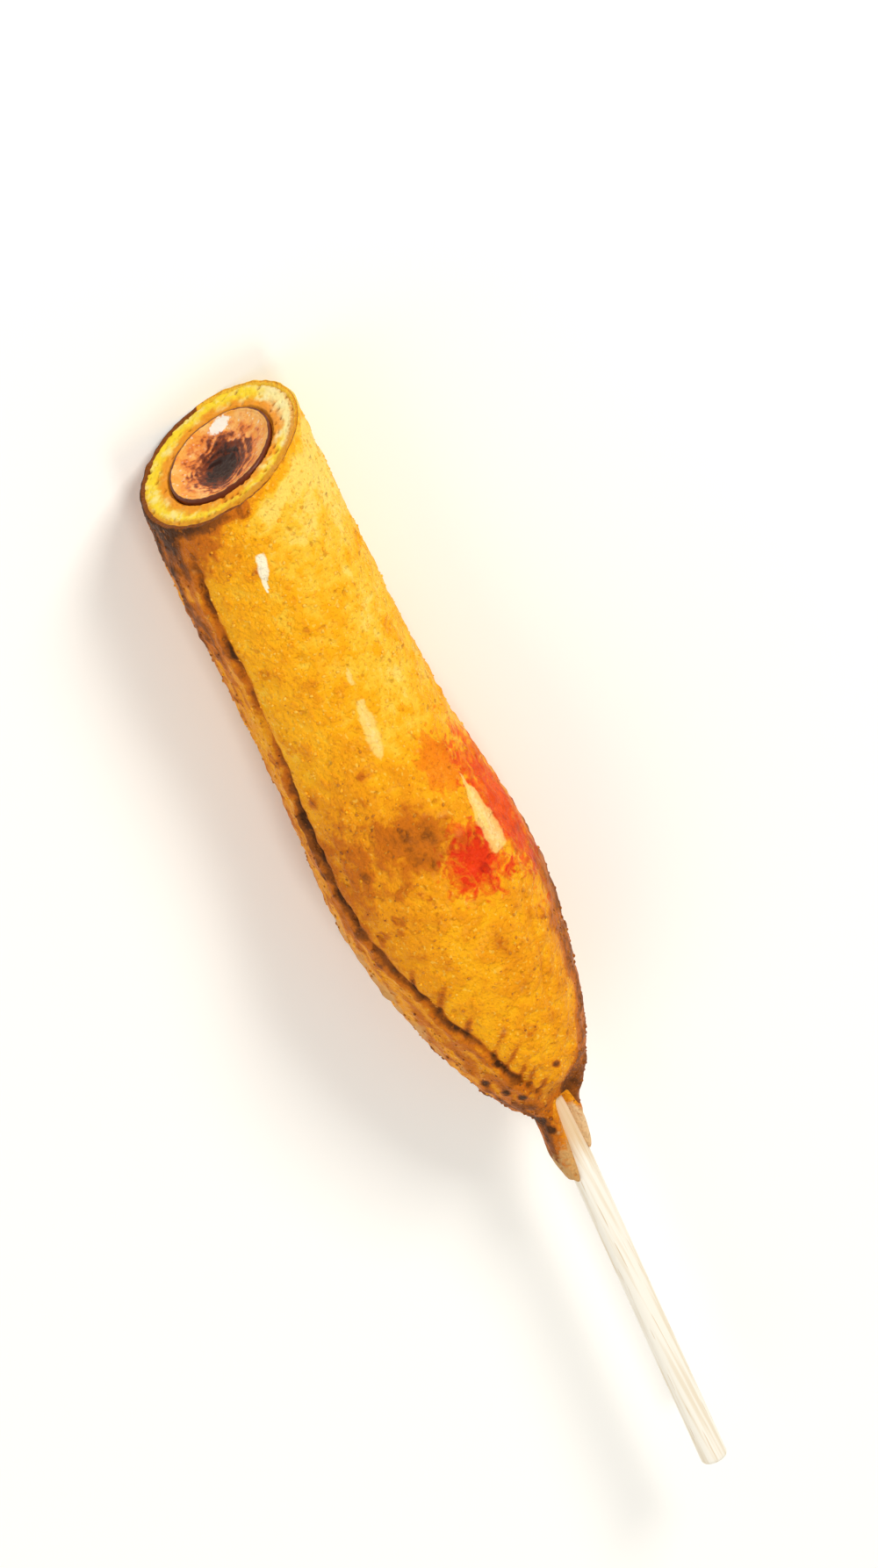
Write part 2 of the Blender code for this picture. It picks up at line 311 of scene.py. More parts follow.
low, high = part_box("stick")
outer_end = Vector((low.x, high.y - STICK_RADIUS, high.z - STICK_RADIUS))
buried_end = Vector((high.x, low.y + STICK_RADIUS, low.z + STICK_RADIUS))
stick_length = (outer_end - buried_end).length
deselect()
bpy.ops.mesh.primitive_cylinder_add(vertices=STICK_SIDES, radius=STICK_RADIUS, depth=stick_length)
stick = bpy.context.object
stick.name = stick.data.name = "birch_stick"
bpy.ops.object.mode_set(mode="EDIT")
bpy.ops.mesh.select_mode(type="FACE")
bpy.ops.mesh.select_all(action="DESELECT")
bpy.ops.object.mode_set(mode="OBJECT")
for face in stick.data.polygons:
    face.select = abs(face.normal.z) > 0.9
bpy.ops.object.mode_set(mode="EDIT")
bpy.ops.mesh.bevel(offset=STICK_END_ROUND, segments=6, profile=0.5)
bpy.ops.mesh.select_all(action="DESELECT")
bpy.ops.mesh.select_mode(type="EDGE")
bpy.ops.object.mode_set(mode="OBJECT")
for edge in stick.data.edges:
    ends = [stick.data.vertices[end].co for end in edge.vertices]
    edge.select = abs(ends[0].z - ends[1].z) > stick_length / 2
bpy.ops.object.mode_set(mode="EDIT")
bpy.ops.mesh.subdivide(number_cuts=STICK_RINGS)
bpy.ops.object.mode_set(mode="OBJECT")
bpy.ops.object.shade_smooth_by_angle(angle=math.radians(40))
points = points_of(stick)
flutes = FLUTE_DEPTH * noise_at(points, 0.8 * MM, 1.3, (1, 1, 60))
flutes += WAVE_DEPTH * noise_at(points, 3 * MM, 8.1, (1, 1, 8))
points[:, :2] *= 1 + (flutes / STICK_RADIUS)[:, None]
set_points(stick, points)
stick_turn = (buried_end - outer_end).to_track_quat("Z", "Y").to_matrix().to_4x4()
stick.data.transform(Matrix.Translation((outer_end + buried_end) / 2) @ stick_turn)

# Birch: pale cream wood with a faint straight grain and short fine pores, sanded dull. Real pores
# are about 0.1 mm wide, and these are four times that so that they show. Hot oil crept along it
# from the coat and left it honey-coloured there.
birch, tree, shader = new_material("Sanded birch", 0.62, 0.35)
place = add(tree, "TexCoord").outputs["Object"]
lengthwise = add(tree, "Mapping", {"Vector": place, "Scale": (1 / 36, 1, 1)})
grain = add(tree, "TexNoise", {"Vector": lengthwise, "Scale": 1 / (0.9 * MM), "Detail": 3.0})
broad = add(tree, "TexNoise", {"Vector": lengthwise, "Scale": 1 / (3.6 * MM), "Detail": 2.0})
pores = add(tree, "TexNoise", {"Vector": lengthwise, "Scale": 1 / (0.4 * MM), "Detail": 1.0})
from_neck = add(tree, "SeparateXYZ", {0: place}).outputs["X"]
crept = add(tree, "Math", {0: grain, 1: 14 * MM, 2: from_neck}, operation="MULTIPLY_ADD")
colour = tinted(tree, linear(BIRCH_PALE), (
    (grain, 0.42, 0.68, 0.75, BIRCH_GRAIN),
    (broad, 0.50, 0.75, 0.4, BIRCH_GRAIN),
    (pores, 0.66, 0.74, 0.5, BIRCH_PORE),
    (crept, -0.044, -0.034, 0.6, BIRCH_OILED),
))
tree.links.new(colour.outputs[2], shader.inputs["Base Color"])
dull = add(tree, "MapRange", {0: grain, 1: 0.3, 2: 0.7, 3: 0.55, 4: 0.7})
tree.links.new(dull.outputs[0], shader.inputs["Roughness"])
bump = add(tree, "Bump", {"Height": grain, "Strength": 0.4, "Distance": 0.08 * MM})
tree.links.new(bump.outputs[0], shader.inputs["Normal"])
stick.data.materials.append(birch)
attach(stick, "root")
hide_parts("stick")

# ---------------------------------------------------------------------------------------------
# Batter coat. Cornmeal batter that fried to a golden crust, swollen at the belly, and ran down
# the stick in a tongue and a flap. Its outline is spun and smoothed, then the surface is worked
# like dough: lumps, runs, a fold, blisters and burst bubbles. Last it is bowed and set down.
# ---------------------------------------------------------------------------------------------

CUT_RADIUS = 18.1 * MM
COAT_LENGTH = 151.2 * MM
COAT_TIP = 154.4 * MM
BELLY_SWELL = 2.9 * MM
BELLY_AT = 96.5 * MM
BELLY_SPREAD = 22.5 * MM
TAPER_FROM = 81.5 * MM
TAPER_POWER = 3.8
TAPER_ROUNDNESS = 1.24
SIDE_BOW = 2.4 * MM
BOW_RISE = 25 * MM
BOW_LEFT_AT_NECK = 0.85
LYING_FLAT = 0.45 * MM  # how deep its underside is pressed flat

COLLAR_RADIUS = 4.9 * MM
COLLAR_END_RADIUS = 3.9 * MM
COLLAR_SPAN = 12 * MM  # made this long, then stretched to each side's own length
COLLAR_LIP = 1.0 * MM
COLLAR_NOTCH = 4.4 * MM  # between the tongue and the flap the batter stops this much sooner
TONGUE_LENGTH = 15.5 * MM
TONGUE_SWELL = 0.45
TONGUE_ANGLE = math.radians(60)
TONGUE_SPREAD = math.radians(50)
FLAP_LENGTH = 9.5 * MM
FLAP_ANGLE = math.radians(-78)
FLAP_SPREAD = math.radians(26)

COAT_SIDES = 60  # each becomes four when smoothed
CRUST_WIDTH = 1.3 * MM  # the crust, where the cut shows its thickness
RECESS = 2.4 * MM  # the crumb sits this deep inside the crust's rim
HOLE_RADIUS = 11.55 * MM
LUMP_HEIGHT = 0.45 * MM
LUMP_SIZE = 17 * MM

BLISTER_SPACING = 9 * MM
BUBBLE_SPACING = 5 * MM

# The crust's relief, in mm.
RUN_HEIGHT = 0.16
BLISTER_HEIGHT = 0.5
BUBBLE_DEPTH = 0.45
BUBBLE_LIP = 0.12
FOLD_LIP = 0.4
FOLD_DEPTH = 0.7
CREASE_DEPTH = 0.25
PUCKER_DEPTH = 0.35

CRUST_PALE = "FCD660"
CRUST_YELLOW = "FAC330"
CRUST_GOLD = "FBAE04"
CRUST_AMBER = "EE9802"
CRUST_TOAST = "CA6C04"
CRUST_BROWN = "8A4806"
CRUST_PIT = "C46C08"
CRUST_DARK = "4E2804"
REFLECTED_LIGHT_TAN = "DBA660"
TONGUE_TAN = "D2A566"
FLAP_PALE = "E6C291"
SAUCE_ORANGE = "F6AE78"  # these two darken the crust under them
SAUCE_RED = "F8744A"
# Painted highlights on the crust.
HIGHLIGHT_PALE = "FFDC7C"
HIGHLIGHT_LIGHT = "FFEEB4"
GLINT_WHITE = "FFF6DA"
SAUCE_SMEARS = (  # the middle and reach of each smear, how orange it is and how red
    ((0.0238, -0.0096, 0.0385), (0.0078, 0.0076, 0.0080), 0.9, 0.95),
    ((0.0290, -0.0186, 0.0290), (0.0185, 0.0056, 0.0105), 0.9, 0.70),
    ((0.0430, -0.0115, 0.0330), (0.0070, 0.0052, 0.0050), 0.6, 0.15),
)

FOLD_ALONG = (0, 50, 73, 100, 125, 147)  # mm from the cut
FOLD_ANGLE = (46, 54, 66, 51, 31, 6)  # degrees from the top towards the left
PUCKERS_AT = (109, 116, 123, 130, 134, 137.5, 140, 143)  # mm from the cut, on the fold
PUCKER_LENGTH = (5, 8, 6, 8, 7, 6, 6, 5)  # mm
PUCKER_SLOPE = 0.9  # how fast each runs away from the fold
SCORCHED_AT = ((-18, 6), (-22, 10), (-25.5, 7.5), (-28, 5), (-24, -4), (-36.5, 4), (-39, 3))  # mm
SCORCHED_SIZE = 0.85  # mm
TOASTED_MIDDLE = (32.0, -1.6)  # mm, of the toasted patch on the belly
TOASTED_REACH = (8.8, 4.6)  # mm, lengthwise and across
TOASTED_TURN = (0.74, 0.67)  # the direction that it is long in
# A pale tan patch of painted reflected light on the shaded underside, past the fold.
REFLECTED_LIGHT_MIDDLE = (11.5, 109)  # mm past the fold, and mm from the cut
REFLECTED_LIGHT_REACH = (7.5, 27)


def coat_radius(along):
    swell = BELLY_SWELL * np.exp(-(((along - BELLY_AT) / BELLY_SPREAD) ** 2))
    into_taper = np.clip((along - TAPER_FROM) / (COAT_TIP - TAPER_FROM), 0, 1)
    return (CUT_RADIUS + swell) * (1 - into_taper**TAPER_POWER) ** (1 / TAPER_ROUNDNESS)


def coat_place(along):
    """The middle of the coat, at distances from the cut: level underneath, bowed to the left."""
    along = np.clip(along, 0, COAT_LENGTH)
    fading = 1 - (1 - BOW_LEFT_AT_NECK) * (along / COAT_LENGTH) ** 2
    side = SIDE_BOW * (1 - np.exp(-along / BOW_RISE)) * fading
    height = coat_radius(np.minimum(along, BELLY_AT)) - LYING_FLAT
    return np.stack([-along, side + CUT_MIDDLE.y, height], axis=1)


def stick_place(along):
    """The middle of the stick, at distances from the cut."""
    step = (outer_end - buried_end) / (buried_end.x - outer_end.x)
    return np.array(buried_end) + np.outer(along - (CUT_MIDDLE.x - buried_end.x), np.array(step))


def crust_outline():
    """A closed outline: out along the crust, round the collar's lip, and back inside the coat.
    A third number says that a point is on the crust's own surface."""
    neck = COAT_LENGTH - 1.6 * MM
    outer = [0.12 * MM, 0.5 * MM, 1.3 * MM] + list(np.linspace(2.8 * MM, neck, 60))
    points = [(along, float(coat_radius(along)), 1) for along in outer]
    inner = STICK_RADIUS + 0.04 * MM
    for share in np.linspace(0, 1, 10):
        thick = COLLAR_END_RADIUS + (COLLAR_RADIUS - COLLAR_END_RADIUS) * (1 - share) - inner
        radius = inner + thick * math.sqrt(1 - share**6)
        points.append((COAT_LENGTH - 0.6 * MM + share * COLLAR_SPAN, radius, 1))
    points += [(COAT_LENGTH + share * COLLAR_SPAN, inner, 0) for share in (0.75, 0.4, 0.0)]
    end_of_sausage = SAUSAGE_LENGTH + 0.3 * MM
    points += [(end_of_sausage + 9 * MM, inner, 0), (end_of_sausage, inner, 0)]
    straight = SAUSAGE_LENGTH - SAUSAGE_RADIUS
    for turn in np.linspace(math.pi / 2, 0, 6)[1:]:
        points.append((straight + HOLE_RADIUS * math.sin(turn), HOLE_RADIUS * math.cos(turn), 0))
    points += [(along * MM, HOLE_RADIUS, 0) for along in (90, 60, 30, 12, 4)]
    wall = CUT_RADIUS - CRUST_WIDTH
    points += [(RECESS, HOLE_RADIUS, 0), (RECESS, wall - 2 * MM, 0), (RECESS, wall, 0)]
    points += [(RECESS / 2, wall, 0), (0.3 * MM, wall, 0), (0.0, wall + 0.15 * MM, 0)]
    points += [(0.0, wall + 0.6 * MM, 0), (0.0, CUT_RADIUS - 0.15 * MM, 1)]
    return points


def scatter(points, spacing, seed):
    """For each point, its distance in metres from the nearest of many scattered spots, and two
    random numbers from 0 to 1 that belong to that spot."""
    away = np.empty(len(points))
    luck = np.empty((len(points), 2))
    for at, point in enumerate(points / spacing + seed):
        distances, spots = noise.voronoi(Vector(point))
        away[at] = distances[0]
        spot = spots[0]
        mixed = math.sin(spot.x * 127.1 + spot.y * 311.7 + spot.z * 74.7) * 43758.5
        luck[at] = mixed % 1, (mixed * 7.13) % 1
    return away * spacing, luck


def lumps_at(points):
    """How far the batter's big lumps stand out, as a share of the coat's radius."""
    return LUMP_HEIGHT / CUT_RADIUS * noise_at(points, LUMP_SIZE, 0, (1 / 0.6, 1, 1))


outline = np.array(crust_outline())
coat = spun("batter_crust", outline, COAT_SIDES)
points = points_of(coat)
apart_along = np.abs(-points[:, 0, None] - outline[None, :, 0])
apart_across = np.abs(np.hypot(points[:, 1], points[:, 2])[:, None] - outline[None, :, 1])
set_value(coat, "crust", outline[np.argmin(apart_along + apart_across, axis=1), 2])
smooth = coat.modifiers.new("Smooth", "SUBSURF")
smooth.levels = smooth.render_levels = 2
bpy.ops.object.modifier_apply(modifier=smooth.name)

points = points_of(coat)
facing = points_of(coat, "normal")
on_crust = np.empty(len(points), dtype=np.float32)
coat.data.attributes["crust"].data.foreach_get("value", on_crust)
outside = on_crust > 0.5
along = -points[:, 0]
radius = np.hypot(points[:, 1], points[:, 2])
angle = np.arctan2(points[:, 1], points[:, 2])
degrees = np.degrees(angle)
collar = np.clip((along - COAT_LENGTH) / COLLAR_SPAN, 0, 1)

lumps = lumps_at(points)
wall = smooth_step(radius, HOLE_RADIUS, CUT_RADIUS - CRUST_WIDTH) * (along < RECESS + 0.1 * MM)
points[:, 1:] *= 1 + (np.where(outside, 1, wall) * lumps)[:, None]
swells = 0.26 * noise_at(points, 7 * MM, 11.3) + 0.24 * noise_at(points, 3.4 * MM, 4.9)
runs = RUN_HEIGHT * noise_at(points, 4.5 * MM, 21.7, (7, 1, 1))
pebbles = 0.33 * noise_at(points, 2.1 * MM, 31.1) + 0.18 * noise_at(points, 1.3 * MM, 41.3)
warp = [noise_at(points, 2.2 * MM, seed) for seed in (1.5, 5.1, 9.4)]
warped = points + 0.7 * MM * np.stack(warp, axis=1)
away, luck = scatter(warped, BLISTER_SPACING, 2.3)
blister_size = (1.3 + 1.6 * luck[:, 0]) * MM
blisters = np.clip(1 - (away / blister_size) ** 2, 0, 1) ** 1.5
blisters *= (luck[:, 1] > 0.5) * BLISTER_HEIGHT
away, luck = scatter(warped, BUBBLE_SPACING, 8.6)
bubble_size = (0.45 + 0.65 * luck[:, 0] ** 2) * MM
untoasted = np.hypot(-along / MM + 82, (degrees + 5) / 3) > 9  # no bubble burst in the patch
has_burst = untoasted * (luck[:, 1] > 0.8)
burst = has_burst * np.exp(-((away / bubble_size) ** 4))
burst_lip = has_burst * np.exp(-(((away - 1.4 * bubble_size) / (0.4 * MM)) ** 2))

# The batter sagged to the left as it fried and left a fold along the coat, with a browned lip.
wander = 1.1 * MM * noise_at(points, 9 * MM, 3.7) + 0.6 * MM * noise_at(points, 3 * MM, 8.7)
steps = range(-12, 13, 3)  # mm, averaged so that the fold has no corners
fold = sum(np.interp(along / MM + step, FOLD_ALONG, FOLD_ANGLE) for step in steps)
fold = np.radians(fold / len(steps))
past_fold = (angle - fold) * radius + wander
fold_depth = smooth_step(along, 3 * MM, 14 * MM) * (1 - smooth_step(along, 138 * MM, 147 * MM))
fold_depth *= 0.95 + 0.35 * noise_at(points, 22 * MM, 15.0)
groove = fold_depth * np.exp(-((past_fold / (0.8 * MM)) ** 2))
lip = fold_depth * np.exp(-(((past_fold - 1.7 * MM) / (1.0 * MM)) ** 2))
right_fold = np.radians(np.interp(along / MM, (98, 132), (-45, -26)))
right_crease = np.exp(-((((angle - right_fold) * radius + 0.5 * wander) / (0.6 * MM)) ** 2))
right_crease *= smooth_step(along, 94 * MM, 102 * MM) * (1 - smooth_step(along, 124 * MM, 134 * MM))
# Near the neck the sagging batter puckered, in short creases that run up from the fold.
puckers = 0
for start, length in zip(PUCKERS_AT, PUCKER_LENGTH):
    up = start - along / MM
    aside = (past_fold / MM + PUCKER_SLOPE * up + 0.05 * up**2) / math.hypot(1, PUCKER_SLOPE)
    reach = smooth_step(up, -1, 0.5) * (1 - smooth_step(up, 0.4 * length, length))
    puckers = np.maximum(puckers, reach * np.exp(-((aside / 0.55) ** 2)))
relief = swells + runs + pebbles + blisters - BUBBLE_DEPTH * burst + BUBBLE_LIP * burst_lip
relief += FOLD_LIP * lip - FOLD_DEPTH * groove
relief -= CREASE_DEPTH * right_crease + PUCKER_DEPTH * puckers
relief *= outside * (1 - 0.6 * smooth_step(along, COAT_LENGTH - 8 * MM, COAT_LENGTH))
relief *= 0.35 + 0.65 * smooth_step(along, 0, 3 * MM)
points += facing * (MM * relief)[:, None]
rim = (along < 0.9 * MM) & (radius > CUT_RADIUS - CRUST_WIDTH - 0.2 * MM)
torn = 0.20 * noise_at(points, 1.6 * MM, 5.5) + 0.16 * noise_at(points, 5 * MM, 6.5)
points[:, 0] += rim * MM * torn

# The collar is stretched into the tongue on the left of the stick and the flap on its right.
tongue = np.exp(-(np.abs((angle - TONGUE_ANGLE) / TONGUE_SPREAD) ** 5))
flap = np.exp(-(((angle - FLAP_ANGLE) / FLAP_SPREAD) ** 4))
reach = COLLAR_LIP + TONGUE_LENGTH * tongue + FLAP_LENGTH * flap
ragged_end = 1 + 0.17 * noise_at(points, 2.0 * MM, 13.0, (50, 1, 1))
beyond = collar * (reach * ragged_end - COLLAR_SPAN)
notch = COLLAR_NOTCH * (1 - tongue) * (1 - flap)
beyond -= notch * smooth_step(along, COAT_LENGTH - 12 * MM, COAT_LENGTH) * (along > 132 * MM)
thicker = np.where(outside, TONGUE_SWELL * tongue * np.clip(collar * 2, 0, 1), 0)
radius = np.hypot(points[:, 1], points[:, 2])
wider = 1 + thicker * np.clip(radius - STICK_RADIUS, 0, None) / np.maximum(radius, MM)
points[:, 1:] *= wider[:, None]

slant(points)
on_stick = smooth_step(along, COAT_LENGTH - 9 * MM, COAT_LENGTH)[:, None]
in_stick_hole = (~outside & (along >= SAUSAGE_LENGTH))[:, None]
in_hole = (~outside & (along < SAUSAGE_LENGTH) & (along > 4 * MM))[:, None]
stick_line = stick_place(along + beyond)
centre = coat_place(along) * (1 - on_stick) + stick_line * on_stick
centre = np.where(in_hole, core_place(along), np.where(in_stick_hole, stick_line, centre))
points[:, 0] += CUT_MIDDLE.x - beyond
points[:, 1:] += centre[:, 1:]
points[:, 2] = np.where(outside, np.maximum(points[:, 2], 0), points[:, 2])
set_points(coat, points)

# How brown each place is, from its frying and from painted light and shade: 0 is pale yellow, 0.35
# gold,
# 0.55 amber, 0.8 toasted, 1.1 dark.
lit_right_side = smooth_step(-degrees, -4, 50)
near_cut = 1 - smooth_step(along, 30 * MM, 70 * MM)
belly = np.exp(-(((along - 79 * MM) / (13 * MM)) ** 2)) * (1 - smooth_step(-degrees, 20, 75))
# The lower right side towards the neck is darker: partly toasting, partly painted shade.
low_right_from = np.interp(along / MM, (94, 138, 148), (62, 45, 18))
uneven = 16 * noise_at(points, 7 * MM, 6.1)
low_right_toast_and_shade = smooth_step(-degrees + uneven, low_right_from - 6, low_right_from + 16)
low_right_toast_and_shade *= 1 - smooth_step(-degrees + uneven, low_right_from + 32, low_right_from + 75)
low_right_toast_and_shade *= smooth_step(along / MM + 0.4 * uneven, 82, 106)
# The strip past the fold, on the left and underneath, is browner: partly toasting, partly painted
# shade, darkest near the cut and the neck and streaked lengthwise.
left_strip_toast_and_shade = smooth_step(past_fold, -0.5 * MM, 4 * MM) * smooth_step(140 - degrees, 0, 40)
left_ends = 0.20 * (1 - smooth_step(along, 28 * MM, 62 * MM))
left_ends += 0.14 * smooth_step(along, 105 * MM, 130 * MM)
left_strip_toast_and_shade *= 0.16 + left_ends
# Painted shade: the left flank between the fold and the belly is darker.
left_flank_shade = smooth_step(along, 55 * MM, 78 * MM) * (1 - smooth_step(along, 100 * MM, 128 * MM))
left_flank_shade *= smooth_step(degrees, 0, 45) * (1 - smooth_step(past_fold, 0, 4 * MM))
# Painted shade: darker on the left just behind the cut's rim.
rim_shade = (1 - smooth_step(along, 2 * MM, 19 * MM)) * smooth_step(degrees, -8, 44)
off_x = points[:, 0] / MM - TOASTED_MIDDLE[0]
off_y = points[:, 1] / MM - TOASTED_MIDDLE[1]
toast_long = (TOASTED_TURN[0] * off_x + TOASTED_TURN[1] * off_y) / TOASTED_REACH[0]
toast_wide = (TOASTED_TURN[0] * off_y - TOASTED_TURN[1] * off_x) / TOASTED_REACH[1]
toasted = np.exp(-(toast_long**2) - toast_wide**2) * (points[:, 2] > 25 * MM)
# Painted shade: a dark band, of ragged width, on the right just behind the cut's rim.
shade_reach = 0.8 + 1.2 * noise_at(points, 5 * MM, 17.3)
cut_edge_shade = 1 - smooth_step(along, 0.5 * MM, (1.5 + 2.5 * shade_reach) * MM)
cut_edge_shade *= smooth_step(degrees, -100, -55)
# Painted light and shade: near the cut the right side is painted lighter and the left side darker, as
# the light falls from the right.
browning_and_painted_light = 0.36 - 0.18 * lit_right_side * near_cut + 0.15 * smooth_step(along, 50 * MM, 95 * MM)
browning_and_painted_light += 0.07 * smooth_step(degrees, 2, 28) * near_cut
browning_and_painted_light += 0.12 * belly + 0.33 * toasted + 0.13 * left_flank_shade + left_strip_toast_and_shade
browning_and_painted_light += 0.38 * rim_shade + 0.42 * cut_edge_shade
browning_and_painted_light -= 0.10 * runs / RUN_HEIGHT * (1 - belly)
# Painted shade: the fold's groove, the right crease and the puckers are darkened.
fold_seam_shade = 0.92 + 0.6 * noise_at(points, 6 * MM, 19.0)
browning_and_painted_light += fold_seam_shade * np.exp(-((past_fold / (0.9 * MM)) ** 2)) * np.clip(fold_depth, 0, 1)
browning_and_painted_light += 0.25 * right_crease + 0.55 * puckers
browning_and_painted_light += left_strip_toast_and_shade * 1.2 * noise_at(points, 2 * MM, 27.0, (7, 1, 1))
browning_and_painted_light += (0.43 * low_right_toast_and_shade + 0.30 * smooth_step(along, 139 * MM, 151 * MM)) * (collar < 0.05)
# Painted light: paler just behind the cut on the right side.
browning_and_painted_light -= 0.17 * (1 - smooth_step(along, 9 * MM, 28 * MM)) * smooth_step(-degrees, -16, 6)
browning_and_painted_light += 0.19 * (collar >= 0.05)
browning_and_painted_light += 0.42 * relief + 0.22 * lumps * CUT_RADIUS / MM + 0.2 * (burst_lip + burst) * outside
for x, y in SCORCHED_AT:
    away = np.hypot(points[:, 0] / MM - x, points[:, 1] / MM - y) / SCORCHED_SIZE
    browning_and_painted_light += 0.7 * np.exp(-(away**4)) * (points[:, 2] > 18 * MM)
set_value(coat, "browning_and_painted_light", browning_and_painted_light)
coat_along = along
coat_collar = collar
coat_browning_and_painted_light = browning_and_painted_light
# Two thin streaks and a spot along the top are painted highlights, pale and near white, where the
# crust is also less rough. Their places and widths are in mm, and each is ragged at its edge.
x, y, z = (points / MM).T
y = y + 0.5 * noise_at(points, 1.8 * MM, 12.1)
wide = 0.7 + 1.1 * np.exp(-(((x - 56) / 5) ** 2))
oil_highlight_run = np.exp(-(((y + 2.2 + 0.105 * (x - 50)) / wide) ** 2))
oil_highlight_run *= smooth_step(x, 49, 52) * (1 - smooth_step(x, 84, 90))
oil_highlight_run *= np.where(x > 63, smooth_step(noise_at(points, 4 * MM, 2.9), -0.05, 0.2), 1)
wide = 0.25 + 1.7 * smooth_step(x, 39, 27)
long_highlight_run = np.exp(-(((y + 14.2) / wide) ** 4))
long_highlight_run *= smooth_step(x, 21.5, 23) * (1 - smooth_step(x, 37, 40))
wide = 0.15 + 0.95 * smooth_step(x, 89.5, 95.5)
painted_glint = np.exp(-(((y - 0.7 + 0.28 * (x - 95.5)) / wide) ** 4))
painted_glint *= smooth_step(x, 88.5, 90) * (1 - smooth_step(x, 97.5, 99))
coat_oil_and_highlight = np.where(z > 25, oil_highlight_run + long_highlight_run + painted_glint, 0)
set_value(coat, "oil_and_painted_highlight", coat_oil_and_highlight)
set_value(coat, "painted_glint", np.where(z > 25, painted_glint, 0))
# Painted reflected light: a pale tan patch on the underside past the fold.
off_fold = (past_fold / MM - REFLECTED_LIGHT_MIDDLE[0]) / REFLECTED_LIGHT_REACH[0]
from_reflected_light = np.hypot(off_fold, (along / MM - REFLECTED_LIGHT_MIDDLE[1]) / REFLECTED_LIGHT_REACH[1])
from_reflected_light += 0.40 * noise_at(points, 8 * MM, 2.6)
set_value(coat, "reflected_light", 1 - smooth_step(from_reflected_light, 0.35, 1.15))
depth_in = np.where(outside, 0, np.clip(CUT_RADIUS * (1 + lumps) - radius, 0, None) / MM)
set_value(coat, "depth_in", depth_in)
set_value(coat, "tongue_end", collar * tongue)
set_value(coat, "flap_end", np.clip(3 * collar * flap, 0, 1))

# Fried cornmeal batter: a dry crust, gold to toasted brown, with paler and darker specks of corn
# and a patchy film of frying oil, which gives it soft broken highlights. Its colour also carries
# painted light and shade, painted highlights and a painted patch of reflected light.
crust, tree, shader = new_material("Fried cornmeal batter", 0.5, 0.13)
place = add(tree, "TexCoord").outputs["Object"]
browning_and_painted_light = add(tree, "Attribute", attribute_name="browning_and_painted_light").outputs["Fac"]
depth_in = add(tree, "Attribute", attribute_name="depth_in").outputs["Fac"]
tongue_end = add(tree, "Attribute", attribute_name="tongue_end").outputs["Fac"]
flap_end = add(tree, "Attribute", attribute_name="flap_end").outputs["Fac"]
oil_and_painted_highlight = add(tree, "Attribute", attribute_name="oil_and_painted_highlight").outputs["Fac"]
painted_glint = add(tree, "Attribute", attribute_name="painted_glint").outputs["Fac"]
reflected_light = add(tree, "Attribute", attribute_name="reflected_light").outputs["Fac"]
broad = add(tree, "TexNoise", {"Vector": place, "Scale": 1 / (14 * MM), "Detail": 3.0})
mottle = add(tree, "TexNoise", {"Vector": place, "Scale": 1 / (4.0 * MM), "Detail": 5.0})
fine = add(tree, "TexNoise", {"Vector": place, "Scale": 1 / (0.9 * MM), "Detail": 4.0})
pinholes = add(tree, "TexNoise", {"Vector": place, "Scale": 1 / (1.7 * MM), "Detail": 1.0})
meal = add(tree, "TexNoise", {"Vector": place, "Scale": 1 / (0.75 * MM), "Detail": 0.0})
# Browning together with painted light and shade, broken up by noise.
fried = add(tree, "Math", {0: broad, 1: 0.28, 2: browning_and_painted_light}, operation="MULTIPLY_ADD")
fried = add(tree, "Math", {0: mottle, 1: 0.42, 2: fried}, operation="MULTIPLY_ADD")
fried = add(tree, "Math", {0: fine, 1: 0.28, 2: fried}, operation="MULTIPLY_ADD")
fried = add(tree, "Math", {0: fried, 1: 0.49}, operation="SUBTRACT")
edge = add(tree, "Math", {0: fine, 1: 0.9, 2: depth_in}, operation="MULTIPLY_ADD")
edge = add(tree, "Math", {0: browning_and_painted_light, 1: -1.2, 2: edge}, operation="MULTIPLY_ADD")
cut_crust = add(tree, "MapRange", {0: depth_in, 1: 0.0, 2: 0.05})
reflected_light_edge = add(tree, "Math", {0: mottle, 1: 3.2, 2: reflected_light}, operation="MULTIPLY_ADD")
speckled = add(tree, "Math", {0: fine, 1: 0.9, 2: mottle}, operation="MULTIPLY_ADD")
tongue_edge = add(tree, "Math", {0: speckled, 1: 0.9, 2: tongue_end}, operation="MULTIPLY_ADD")
flap_edge = add(tree, "Math", {0: speckled, 1: 0.5, 2: flap_end}, operation="MULTIPLY_ADD")
oil_and_highlight_edge = add(tree, "Math", {0: fine, 1: 0.5, 2: oil_and_painted_highlight}, operation="MULTIPLY_ADD")
glint_edge = add(tree, "Math", {0: fine, 1: 0.5, 2: painted_glint}, operation="MULTIPLY_ADD")
colour = tinted(tree, linear(CRUST_PALE), (
    (fried, 0.02, 0.20, 1.0, CRUST_YELLOW),
    (fried, 0.18, 0.38, 1.0, CRUST_GOLD),
    (fried, 0.38, 0.60, 1.0, CRUST_AMBER),
    (meal, 0.32, 0.20, 0.40, CRUST_PALE),
    (fried, 0.60, 0.82, 1.0, CRUST_TOAST),
    (fried, 0.82, 1.05, 1.0, CRUST_BROWN),
    (fried, 1.05, 1.35, 1.0, CRUST_DARK),
    # painted reflected light
    (reflected_light_edge, 2.10, 2.90, 0.80, REFLECTED_LIGHT_TAN),
    (tongue_edge, 1.16, 1.50, 0.84, TONGUE_TAN),
    (flap_edge, 0.78, 1.18, 0.9, FLAP_PALE),
    (pinholes, 0.66, 0.78, 0.50, CRUST_PIT),
    (meal, 0.66, 0.78, 0.35, CRUST_TOAST),
))
